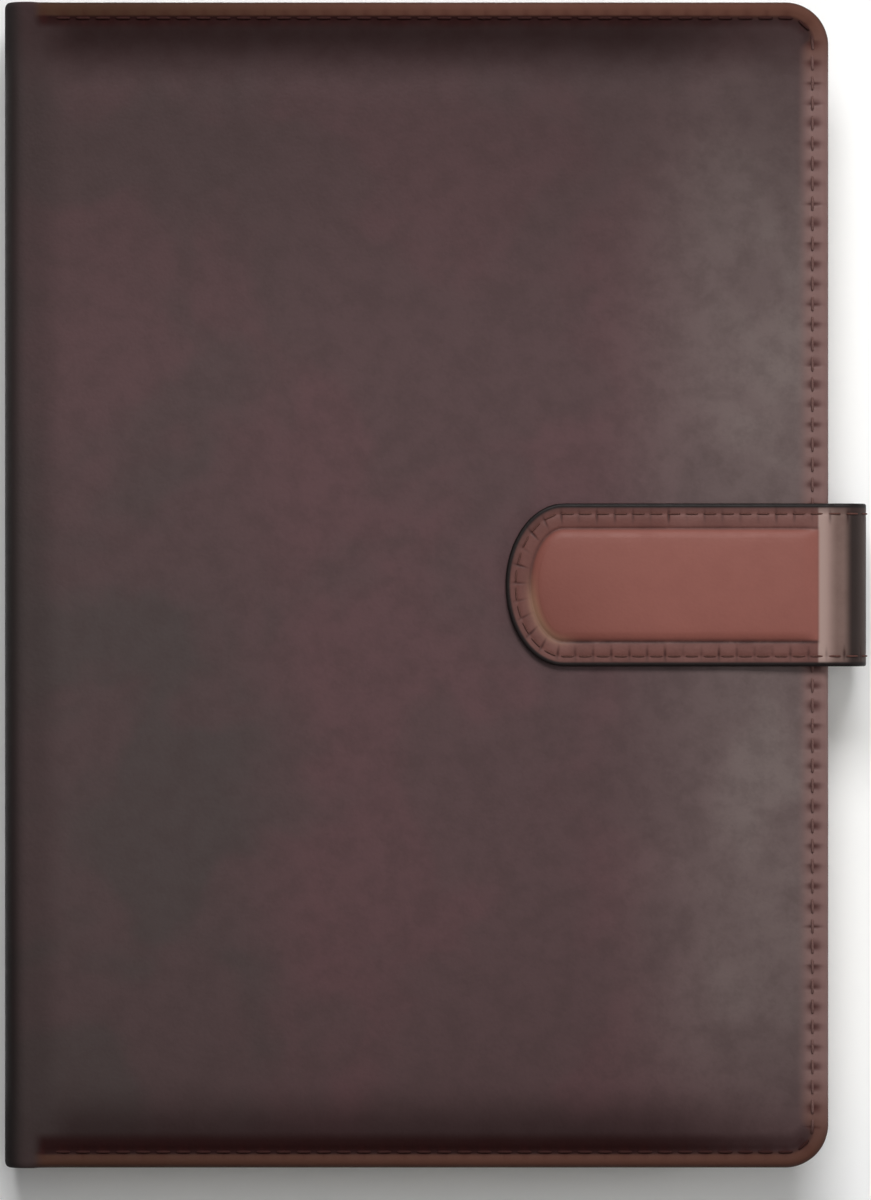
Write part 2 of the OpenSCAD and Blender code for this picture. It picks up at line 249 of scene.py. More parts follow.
def case_part(with_spine):
    """Points, faces and UV lengths of the case's upper side, from the hinge or the spine's foot on.

    The grid's rows run from tail to head. Its columns go up the spine with its two arcs, over the hinge and
    across the cover to the fore-edge, where each row ends on the rounded outline. Past the grid's border
    the skin rolls over as half an ellipse and then lies flat as the turn-in under the board.
    """
    reach = CORNER_R - EDGE_R
    centre_x, centre_y = FORE_X - CORNER_R, HALF_L - CORNER_R
    phi = np.radians(np.arange(0, 90.1, 2.5))
    straight = np.linspace(-centre_y, centre_y, 61)[1:-1]
    corner_y = centre_y + reach * np.sin(phi)
    row_y = np.concatenate([-corner_y[::-1], straight, corner_y])
    row_phi = np.concatenate([-phi[::-1], straight * 0, phi])
    row_end = centre_x + reach * np.cos(row_phi)

    hinge_x = np.linspace(HINGE_X, PLATE_X, 6)
    section_x, section_z = hinge_x, hinge_x * 0 + TOP_Z
    section_nx, section_nz = hinge_x * 0, hinge_x * 0 + 1
    if with_spine:
        low_arc = np.linspace(1.5, 1, 10) * math.pi
        high_arc = np.linspace(1, 0.5, 10)[:-1] * math.pi
        turn = np.concatenate([low_arc, np.full(11, math.pi), high_arc])
        centre_z = np.concatenate([low_arc * 0, np.linspace(0, 1, 13)[1:-1], high_arc * 0 + 1])
        centre_z = SPINE_R + centre_z * (TOP_Z - 2 * SPINE_R)
        section_x = np.concatenate([HINGE_X + SPINE_R * np.cos(turn), section_x])
        section_z = np.concatenate([centre_z + SPINE_R * np.sin(turn), section_z])
        section_nx = np.concatenate([np.cos(turn), section_nx])
        section_nz = np.concatenate([np.sin(turn), section_nz])
    step_x = np.diff(section_x, prepend=section_x[0])
    step_z = np.diff(section_z, prepend=section_z[0])
    section_u = -np.cumsum(np.hypot(step_x, step_z))
    section_u = section_u - section_u[-1]

    inset = np.concatenate([
        np.arange(FINE_W, 5.0, -1.3), np.arange(5.0, 3.9, -0.3), np.arange(3.8, 0, -0.2), [0.0]
    ])
    across = np.linspace(0, 1, 34)[1:-1]
    wide = PLATE_X + (row_end[:, None] - inset[0] - PLATE_X) * across
    plate_x = np.concatenate([wide, row_end[:, None] - inset], axis=1)

    rows, spine_cols = len(row_y), len(section_x)
    y = row_y[:, None]
    plate_z = TOP_Z - cover_drop(plate_x, y + plate_x * 0)
    x = np.concatenate([np.tile(section_x, (rows, 1)), plate_x], axis=1)
    flat_z = np.tile(section_z, (rows, 1))
    hem_drop = cover_drop(np.tile(section_x, (rows, 1)), y + flat_z * 0)
    z = np.concatenate([flat_z - hem_drop * (section_nz > 0.999), plate_z], axis=1)
    y = y + x * 0
    grid = np.stack([x, y, z], axis=-1)
    spine_y, plate_y = y[:, :spine_cols], y[:, spine_cols:]
    head = (spine_y > 0) * seam_length(np.array(PLATE_X), np.array(1.0))
    spine_u = np.where(head > 0, head + section_u, -section_u)
    u = np.concatenate([spine_u, seam_length(plate_x, plate_y)], axis=1)
    v = np.concatenate([HALF_L - np.abs(spine_y), edge_distance(plate_x, plate_y)], axis=1)
    uv = np.stack([u, v], axis=-1)

    cols = x.shape[1]
    normal = np.zeros((cols, 3))
    normal[:, 2] = 1
    normal[:spine_cols, 0] = section_nx
    normal[:spine_cols, 2] = section_nz
    walk_row = np.concatenate([np.zeros(cols, int), np.arange(1, rows), np.full(cols - 1, rows - 1)])
    walk_col = np.concatenate([np.arange(cols), np.full(rows - 1, cols - 1), np.arange(cols - 2, -1, -1)])
    border = grid[walk_row, walk_col]
    border_uv = uv[walk_row, walk_col]
    up = normal[walk_col]
    end_side = np.sign(walk_row - rows / 2)
    out = np.stack([border[:, 0] * 0, end_side, border[:, 0] * 0], axis=-1)
    at_fore = walk_col == cols - 1
    out[at_fore] = np.stack([np.cos(row_phi), np.sin(row_phi), row_phi * 0], axis=-1)[walk_row[at_fore]]

    on_plate = smooth((border[:, 0] - PLATE_X + 1.9) / 1.5)
    by_hinge = smooth((border[:, 0] - HINGE_X + 0.6) / 1.2)
    thick = SPINE_EDGE_T + (HINGE_T - SPINE_EDGE_T) * by_hinge
    thick = thick + (border[:, 2] - TURN_IN_Z - thick) * on_plate
    theta = np.linspace(0, math.pi, 15)
    tuck = np.array([0.6, 1.4, 2.6, 4.2, TURN_IN_W])
    sideways = np.concatenate([EDGE_R * np.sin(theta), -tuck])
    down = np.concatenate([(1 - np.cos(theta)) / 2, tuck * 0 + 1])
    strip = border[:, None] + sideways[None, :, None] * out[:, None]
    strip = strip - (down[None, :] * thick[:, None])[..., None] * up[:, None]
    strip_in = np.concatenate([EDGE_R * (1 - 2 * theta / math.pi), -EDGE_R - tuck])
    strip_uv = np.stack(np.broadcast_arrays(border_uv[:, :1], strip_in[None, :]), axis=-1)

    points = np.concatenate([grid.reshape(-1, 3), strip.reshape(-1, 3)])
    faces = np.concatenate([quads(rows, cols), quads(len(border), strip.shape[1], rows * cols)])
    return points, faces, np.concatenate([uv.reshape(-1, 2), strip_uv.reshape(-1, 2)])


def give_wall(obj, thickness):
    """Gives a sheet its thickness on its inner side."""
    wall = obj.modifiers.new("wall", "SOLIDIFY")
    wall.thickness = thickness * MM
    wall.offset = -1


def flip_height(points):
    """The same points mirrored about the closed diary's mid-height."""
    return points * [1, 1, -1] + [0, 0, TOP_Z]


front_leather = piece("front_leather", "cover_skin", *case_part(True))
case_points, case_faces, case_uv = case_part(False)
back_leather = piece("back_leather", "cover_skin", flip_height(case_points), case_faces[:, ::-1], case_uv)
for leather in (front_leather, back_leather):
    give_wall(leather, SHELL_T)
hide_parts("front_cover_skin", "front_hinge_skin", "spine_skin")
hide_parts("back_cover_skin", "back_hinge_skin")
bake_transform(front_leather)
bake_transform(back_leather)


def cover_stitches():
    """Points, faces and UV of the stitches that lie in the front cover's groove on three sides."""
    centre_x, centre_y = FORE_X - CORNER_R, HALF_L - CORNER_R
    seam_r = CORNER_R - STITCH_IN
    turn = np.linspace(-math.pi / 2, 0, 30)
    low = np.array([[PLATE_X + 2.0, -HALF_L + STITCH_IN]])
    corner = np.stack([centre_x + seam_r * np.cos(turn), -centre_y + seam_r * np.sin(turn)], axis=-1)
    path = np.concatenate([low, corner, (corner * [1, -1])[::-1], low * [1, -1]])
    centres, along = spread(path, STITCH_PITCH)
    z = TOP_Z - cover_drop(centres[:, 0], centres[:, 1]) + 0.1
    centres = np.column_stack([centres, z])
    along = np.column_stack([along, z * 0])
    up = np.tile([0.0, 0.0, 1.0], (len(z), 1))
    return capsules(centres, along, up, 0.74 * STITCH_PITCH, THREAD_R, 0.12)


def spread(path, pitch):
    """Middles and directions of equal stitches along a path of points, as near to the pitch as fits."""
    step = np.diff(path, axis=0)
    length = np.concatenate([[0], np.cumsum(np.linalg.norm(step, axis=1))])
    count = int(round(length[-1] / pitch))
    place = (np.arange(count) + 0.5) * length[-1] / count

    def at(distance):
        return np.stack([np.interp(distance, length, axis) for axis in path.T], axis=-1)

    along = at(place + 0.4) - at(place - 0.4)
    return at(place), along / np.linalg.norm(along, axis=1, keepdims=True)


thread_points, thread_faces, thread_uv = cover_stitches()
front_thread = piece("front_thread", "thread", thread_points, thread_faces, thread_uv)
back_thread = piece("back_thread", "thread", flip_height(thread_points), thread_faces[:, ::-1], thread_uv)
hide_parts("front_edge_stitching")
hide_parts("back_edge_stitching")
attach(front_thread, "front_cover")
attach(back_thread, "back_cover")


# ---- The strap: a band from the back cover round the fore-edge to its rounded tip ----

TAIL_L = SIDE_X - BEND_R - TAIL_X
RISE_L = LAP_TOP_Z - TAIL_Z - 2 * BEND_R
BEND_L = BEND_R * math.pi / 2
SIDE_S = TAIL_L + BEND_L
LAP_S = SIDE_S + RISE_L + BEND_L
TIP_S = LAP_S + SIDE_X - BEND_R - LAP_LOW[0] - TIP_A
PANEL_S = LAP_S + SIDE_X - BEND_R - PANEL_END_X


def on_strap(s, y, height):
    """The place of a point on the strap from its length along it, its place across and its height.

    The strap's outer face leaves the back cover along +X, turns up through a quarter circle, rises,
    turns back through another quarter circle and runs towards -X over the front cover.
    """
    low = np.clip((s - TAIL_L) / BEND_R, 0, math.pi / 2)
    high = np.clip((s - SIDE_S - RISE_L) / BEND_R, 0, math.pi / 2)
    x = TAIL_X + np.minimum(s, TAIL_L) + BEND_R * np.sin(low) - BEND_R * (1 - np.cos(high))
    x = x - np.maximum(s - LAP_S, 0)
    z = TAIL_Z + BEND_R * (1 - np.cos(low)) + np.clip(s - SIDE_S, 0, RISE_L) + BEND_R * np.sin(high)
    turned = low + high
    return np.stack([x + height * np.sin(turned), y + s * 0, z - height * np.cos(turned)], axis=-1)


def strap_outline(inset):
    """Lengths along and places across on the outline at each inset, from the tail round the tip and back.

    The outline is straight up to the tip's centre and then half an ellipse. Further in, the ellipse's
    long half-axis shrinks so that the innermost outline is the strap's middle line.
    """
    bends = [np.linspace(a, b, n) for a, b, n in (
        (0, TAIL_L, 8), (TAIL_L, SIDE_S, 12), (SIDE_S, SIDE_S + RISE_L, 9),
        (SIDE_S + RISE_L, LAP_S, 14), (LAP_S, LAP_S + 8, 20), (LAP_S + 8, TIP_S, 36))]
    run = np.unique(np.concatenate(bends))
    psi = np.linspace(-math.pi / 2, math.pi / 2, 61)[1:-1]
    b = STRAP_B - inset
    a = np.where(inset < 6, TIP_A - inset, (TIP_A - 6) * (STRAP_B - inset) / (STRAP_B - 6))
    s = np.concatenate([run[:, None] + a * 0, TIP_S + a * np.cos(psi)[:, None], run[::-1, None] + a * 0])
    y = np.concatenate([run[:, None] * 0 - b, b * np.sin(psi)[:, None], run[::-1, None] * 0 + b])
    out_s = np.concatenate([run * 0, np.cos(psi) * STRAP_B, run * 0])
    out_y = np.concatenate([run * 0 - 1, np.sin(psi) * TIP_A, run * 0 + 1])
    size = np.hypot(out_s, out_y)
    return s, y, out_s / size, out_y / size


def strap_height(s, inset):
    """Height of the strap's skin over its plain face: rim, stitch groove, border and raised panel."""
    on_lap = 1 - (1 - np.clip((s - PANEL_S) / 5, 0, 1)) ** 2.5
    step = 1 - (1 - np.clip((inset - BORDER_W + 0.2) / 2.0, 0, 1)) ** 2
    crown = 1 - (1 - np.clip((inset - BORDER_W + 0.2) / 9.5, 0, 1)) ** 2
    panel = (0.6 * step + 0.4 * crown) * PANEL_RISE
    stitch = 0.06 * hump((inset - STRAP_STITCH_IN) / 0.4)
    border = 0.08 * hump((inset - 3.0) / 0.9)
    fold = 0.12 * hump((inset - BORDER_W + 0.3) / 0.35)
    ridge = 0.28 * hump((s - PANEL_S + 1.7) / 1.2)
    return on_lap * (panel + border - fold) + ridge - stitch


def band(top_inset, edge_r, thickness, outer, face):
    """Points, faces and UV lengths of a closed band along the strap.

    Across, it goes from the middle line of its outer face to the edge, round half an ellipse and back
    under it to the middle line. outer is the depth of its outer face, and face gives its height.
    """
    s, y, out_s, out_y = strap_outline(top_inset)
    height = face(s, top_inset[None, :]) - outer
    theta = np.linspace(0, math.pi, 11)[1:]
    thick = (height[:, -1] + outer + thickness)[:, None]
    roll_s = s[:, -1:] + edge_r * np.sin(theta) * out_s[:, None]
    roll_y = y[:, -1:] + edge_r * np.sin(theta) * out_y[:, None]
    roll_h = height[:, -1:] - thick * (1 - np.cos(theta)) / 2
    under_inset = np.linspace(top_inset[-1], STRAP_B, 8)[1:]
    under_s, under_y = strap_outline(under_inset)[:2]
    under_h = under_s * 0 - outer - thickness
    s = np.concatenate([s, roll_s, under_s], axis=1)
    y = np.concatenate([y, roll_y, under_y], axis=1)
    height = np.concatenate([height, roll_h, under_h], axis=1)
    inset = np.concatenate([top_inset, top_inset[-1] - edge_r * np.sin(theta / 2) * 2, -under_inset])
    points = on_strap(s, y, height)
    rows, cols = s.shape
    seam_s, seam_y = strap_outline(np.array([STRAP_STITCH_IN]))[:2]
    seam = np.cumsum(np.hypot(np.diff(seam_s[:, 0], prepend=0), np.diff(seam_y[:, 0], prepend=seam_y[0, 0])))
    faces = quads(rows, cols)[:, ::-1].tolist()
    end = list(range(cols)) + list(range(rows * cols - 1, (rows - 1) * cols - 1, -1))
    faces.append(end)
    return points, faces, np.stack([seam[:, None] + s * 0, inset[None, :] + s * 0], axis=-1)


skin_inset = np.concatenate([
    np.linspace(STRAP_B, 6.4, 9)[:-1], np.arange(6.4, 4.0, -0.15), np.arange(4.0, 2.6, -0.35),
    np.arange(2.6, 1.2, -0.14), [1.05, 0.8, 0.6, 0.45]])
strap_parts = band(skin_inset, 0.45, SKIN_T, 0.0, strap_height)
strap_leather = piece("strap_leather", "strap_skin", *strap_parts)
lining_inset = np.concatenate([np.linspace(STRAP_B, 1.0, 8), [0.7]])
lining_parts = band(lining_inset, 0.2, LINING_T - 0.01, SKIN_T + 0.01, lambda s, inset: s * 0 + inset * 0)
strap_lining = piece("strap_lining", "lining", *lining_parts)
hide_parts("strap_tail_skin", "strap_flap_skin")
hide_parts("strap_tail_lining", "strap_flap_lining")


def strap_stitches():
    """Points, faces and UV of the stitches round the strap, from one side of its bend to the other."""
    s, y = strap_outline(np.array([STRAP_STITCH_IN]))[:2]
    flat = np.stack([s[:, 0], y[:, 0]], axis=-1)
    flat = flat[flat[:, 0] > SIDE_S - 1]
    centres, along = spread(flat, STRAP_PITCH)
    height = strap_height(centres[:, 0], np.array(STRAP_STITCH_IN)) + 0.08
    place = on_strap(centres[:, 0], centres[:, 1], height)
    ahead = on_strap(*(centres + 0.01 * along).T, height)
    over = on_strap(*centres.T, height + 0.01)
    along = (ahead - place) / np.linalg.norm(ahead - place, axis=1, keepdims=True)
    up = (over - place) / np.linalg.norm(over - place, axis=1, keepdims=True)
    return capsules(place, along, up, 0.72 * STRAP_PITCH, 0.17, 0.06)


strap_thread = piece("strap_thread", "thread", *strap_stitches())
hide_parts("strap_tail_stitching", "strap_flap_stitching")
for part in (strap_leather, strap_lining, strap_thread):
    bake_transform(part)


# ---- The leaves and the beads at the spine's ends ----

def leaf_block():
    """Points and faces of the block of leaves: its outline at each level, drawn in a little by level.

    Each level's edge lies 0 to 0.16 mm inside the block's outline, as trimmed leaves do, and the
    levels' shift changes slowly along the outline. At the spine the block is glued and even.
    """
    low_x, high_x, half_y = LEAVES_LOW[0], LEAVES_HIGH[0], LEAVES_HIGH[1]
    centre_x, centre_y = high_x - LEAF_CORNER_R, half_y - LEAF_CORNER_R
    tail = np.stack([np.linspace(low_x, centre_x, 40), np.full(40, -half_y)], axis=-1)
    turn = np.linspace(-math.pi / 2, 0, 13)
    corner = LEAF_CORNER_R * np.stack([np.cos(turn), np.sin(turn)], axis=-1) + [centre_x, -centre_y]
    fore = np.stack([np.full(50, high_x), np.linspace(-centre_y, centre_y, 50)], axis=-1)
    half = np.concatenate([tail[:-1], corner, fore[1:-1]])
    outline = np.concatenate([half, (corner * [1, -1])[::-1], (tail[:-1] * [1, -1])[::-1]])
    x, y = outline.T
    rows = LEAF_LEVELS
    random = np.random.default_rng(7)
    level = np.linspace(LEAVES_LOW[2], LEAVES_HIGH[2], rows)
    phase = random.uniform(0, 2 * math.pi, (rows, 1))
    shift = random.uniform(0, 0.11, (rows, 1)) + 0.05 * (0.5 + 0.5 * np.sin(y / 31 + x / 23 + phase))
    shift = shift * smooth((x - low_x - 1) / 6)
    shift[0] = shift[-1] = 0.02
    out_x = np.clip((x - centre_x) / LEAF_CORNER_R, 0, 1)
    out_y = np.sign(y) * np.clip((np.abs(y) - centre_y) / LEAF_CORNER_R, 0, 1)
    inward = -np.stack([out_x, out_y], axis=-1)
    place = outline[None] + shift[..., None] * inward[None]
    points = np.concatenate([place, np.broadcast_to(level[:, None, None], place.shape[:2] + (1,))], axis=-1)
    count = len(outline)
    index = np.arange(rows * count).reshape(rows, count)
    index = np.concatenate([index, index[:, :1]], axis=1)
    sides = np.stack([index[:-1, :-1], index[:-1, 1:], index[1:, 1:], index[1:, :-1]], axis=-1).reshape(-1, 4)
    faces = sides.tolist() + [list(range(count))[::-1], list(range((rows - 1) * count, rows * count))]
    return points, faces


leaves = piece("leaves", "leaves", *leaf_block(), rounded=False)
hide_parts("page_block")
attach(leaves, "page_block")


def bead(node):
    """Points, faces and UV of a thread-wrapped bead.

    It is a tube along Z whose radius swells by 7% with each turn of the thread and closes at both ends.
    """
    low, high = box(node)
    radius = (high[0] - low[0]) / 2
    t = np.linspace(0, 1, 150)[:, None]
    turn = np.linspace(0, 2 * math.pi, 17)[None, :]
    wraps = 0.93 + 0.07 * np.cos(2 * math.pi * BEAD_TURNS * t - turn)
    size = radius * wraps * np.clip(1 - np.abs(2 * t - 1) ** 40, 0, 1) ** 0.5
    x = (low[0] + high[0]) / 2 + size * np.cos(turn)
    y = (low[1] + high[1]) / 2 + size * np.sin(turn)
    z = low[2] + (high[2] - low[2]) * t + turn * 0
    around = turn / (2 * math.pi)
    uv = np.stack(np.broadcast_arrays(BEAD_TURNS * t - around, around), axis=-1)
    return np.stack([x, y, z], axis=-1), quads(150, 17)[:, ::-1], uv


for end in ("head", "tail"):
    beading = piece(end + "_bead", "bead", *bead(end + "_band"))
    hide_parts(end + "_band")
    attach(beading, "page_block")


# ---- Materials ----

def put(tree, kind, inputs=None, **settings):
    """A new node. inputs gives sockets their values or the other nodes' outputs that feed them."""
    node = tree.nodes.new("ShaderNode" + kind)
    for setting, value in settings.items():
        setattr(node, setting, value)
    for socket, value in (inputs or {}).items():
        if isinstance(value, bpy.types.NodeSocket):
            tree.links.new(value, node.inputs[socket])
        else:
            node.inputs[socket].default_value = value
    return node


def calc(tree, operation, *values):
    """The result of a Math node."""
    return put(tree, "Math", dict(enumerate(values)), operation=operation).outputs[0]


def times(tree, first, *others):
    """The product of two or more values."""
    for other in others:
        first = calc(tree, "MULTIPLY", first, other)
    return first


def ramp(tree, value, low, high, start=0.0, end=1.0):
    """A value's soft step from start at low to end at high."""
    inputs = {"Value": value, "From Min": low, "From Max": high, "To Min": start, "To Max": end}
    return put(tree, "MapRange", inputs, interpolation_type="SMOOTHSTEP").outputs["Result"]


def span(tree, axis, low, high, start=0.0, end=1.0):
    """The soft step along an Object axis between two places in millimetres."""
    return ramp(tree, axis, low * MM, high * MM, start, end)


def bell(tree, value, centre, width):
    """A bell of height 1 round the centre."""
    off = calc(tree, "DIVIDE", calc(tree, "SUBTRACT", value, centre), width)
    return calc(tree, "EXPONENT", times(tree, times(tree, off, off), -1.0))


def mix(tree, factor, first, second, how="MIX"):
    """Two colours mixed by a factor."""
    node = put(tree, "Mix", {0: factor, 6: first, 7: second}, data_type="RGBA", blend_type=how)
    return node.outputs[2]


def scaled(tree, vector, factors):
    """A vector multiplied axis by axis."""
    return put(tree, "VectorMath", {0: vector, 1: factors}, operation="MULTIPLY").outputs[0]


def noise(tree, vector, size, detail=4.0, rough=0.55, distortion=0.0):
    """Noise from 0 to 1 whose features are about size millimetres."""
    inputs = {"Vector": vector, "Scale": 1000 / size, "Detail": detail, "Roughness": rough}
    inputs["Distortion"] = distortion
    return put(tree, "TexNoise", inputs).outputs["Fac"]


def group(name, inputs, outputs):
    """A new node group with its named inputs and outputs. Returns it, its input node and its output node."""
    tree = bpy.data.node_groups.new(name, "ShaderNodeTree")
    for label, kind, value in inputs:
        socket = tree.interface.new_socket(name=label, in_out="INPUT", socket_type="NodeSocket" + kind)
        if value is not None:
            socket.default_value = value
    for label, kind in outputs:
        tree.interface.new_socket(name=label, in_out="OUTPUT", socket_type="NodeSocket" + kind)
    return tree, tree.nodes.new("NodeGroupInput"), tree.nodes.new("NodeGroupOutput")


def leatherette_group():
    """Leatherette's pebbled height in millimetres, its clouded mottling and its fine speckle."""
    inputs = [("Vector", "Vector", None), ("Pebble", "Float", 1400.0), ("Depth", "Float", 0.03)]
    outputs = [("Height", "Float"), ("Clouds", "Float"), ("Speckle", "Float")]
    tree, given, result = group("leatherette", inputs, outputs)
    vector = given.outputs["Vector"]
    cell = put(tree, "TexVoronoi", {"Vector": vector, "Scale": given.outputs["Pebble"]}, feature="F1")
    wrinkle = noise(tree, vector, 2.0, 2.0, 0.6)
    pebble = calc(tree, "SUBTRACT", times(tree, wrinkle, 1.6), cell.outputs["Distance"])
    tree.links.new(times(tree, pebble, given.outputs["Depth"]), result.inputs["Height"])
    tree.links.new(ramp(tree, noise(tree, vector, 30.0, 3.0, 0.5, 0.3), 0.38, 0.62), result.inputs["Clouds"])
    tree.links.new(noise(tree, vector, 5.0, 4.0, 0.7), result.inputs["Speckle"])
    return tree


def weave_group():
    """Height and gaps of a plain weave: threads along Y and Z that pass over and under each other."""
    inputs = [("Vector", "Vector", None), ("Count", "Float", 1500.0)]
    tree, given, result = group("plain_weave", inputs, [("Height", "Float"), ("Gap", "Float")])
    inputs = {0: given.outputs["Vector"], "Scale": given.outputs["Count"]}
    place = put(tree, "VectorMath", inputs, operation="SCALE").outputs[0]
    axes = put(tree, "SeparateXYZ", {0: place}).outputs
    warp, weft = calc(tree, "SINE", axes["Y"]), calc(tree, "SINE", axes["Z"])
    thread = calc(tree, "MAXIMUM", calc(tree, "ABSOLUTE", warp), calc(tree, "ABSOLUTE", weft))
    height = calc(tree, "ADD", thread, times(tree, warp, weft, 0.4))
    tree.links.new(height, result.inputs["Height"])
    tree.links.new(ramp(tree, thread, 0.45, 0.2), result.inputs["Gap"])
    return tree


def fibre_group():
    """Paper's short fibres: height in millimetres, a mask of darker flecks and soft clouds."""
    outputs = [("Height", "Float"), ("Fleck", "Float"), ("Clouds", "Float")]
    tree, given, result = group("paper_fibre", [("Vector", "Vector", None)], outputs)
    place = given.outputs["Vector"]
    fibre = noise(tree, place, 0.6, 4.0, 0.65, 1.5)
    tree.links.new(times(tree, fibre, 0.03), result.inputs["Height"])
    tree.links.new(ramp(tree, noise(tree, place, 1.3, 3.0, 0.7, 2.0), 0.62, 0.72), result.inputs["Fleck"])
    tree.links.new(noise(tree, place, 22.0, 3.0), result.inputs["Clouds"])
    return tree


LEATHERETTE, WEAVE, FIBRE = leatherette_group(), weave_group(), fibre_group()


def surface(name, rough, specular=0.5, sheen=0.0):
    """A new material: its tree, shader and Object and UV coordinates."""
    material = bpy.data.materials.new(name)
    material.use_nodes = True
    tree = material.node_tree
    shader = tree.nodes["Principled BSDF"]
    shader.inputs["Roughness"].default_value = rough
    shader.inputs["Specular IOR Level"].default_value = specular
    shader.inputs["Sheen Weight"].default_value = sheen
    coords = put(tree, "TexCoord")
    return material, tree, shader, coords.outputs["Object"], coords.outputs["UV"]


def bump(tree, shader, height):
    """Feeds a height in millimetres to the shader's normal."""
    node = put(tree, "Bump", {"Height": height, "Distance": MM, "Strength": 1.0})
    tree.links.new(node.outputs["Normal"], shader.inputs["Normal"])


def use_group(tree, content, **inputs):
    """A group's node in a material, with its values."""
    node = tree.nodes.new("ShaderNodeGroup")
    node.node_tree = content
    for socket, value in inputs.items():
        if isinstance(value, bpy.types.NodeSocket):
            tree.links.new(value, node.inputs[socket])
        else:
            node.inputs[socket].default_value = value
    return node.outputs


def uneven(tree, along, size):
    """Noise along a seam, given its length in millimetres."""
    place = put(tree, "CombineXYZ", {0: calc(tree, "DIVIDE", along, 1000.0)}).outputs[0]
    return noise(tree, place, size, 1.0)


def to_stitch_gap(tree, along, pitch):
    """Distance in millimetres along a seam from the nearest hole between two stitches."""
    turn = calc(tree, "FRACT", calc(tree, "ADD", calc(tree, "DIVIDE", along, pitch), 0.5))
    return times(tree, calc(tree, "ABSOLUTE", calc(tree, "SUBTRACT", turn, 0.5)), pitch)


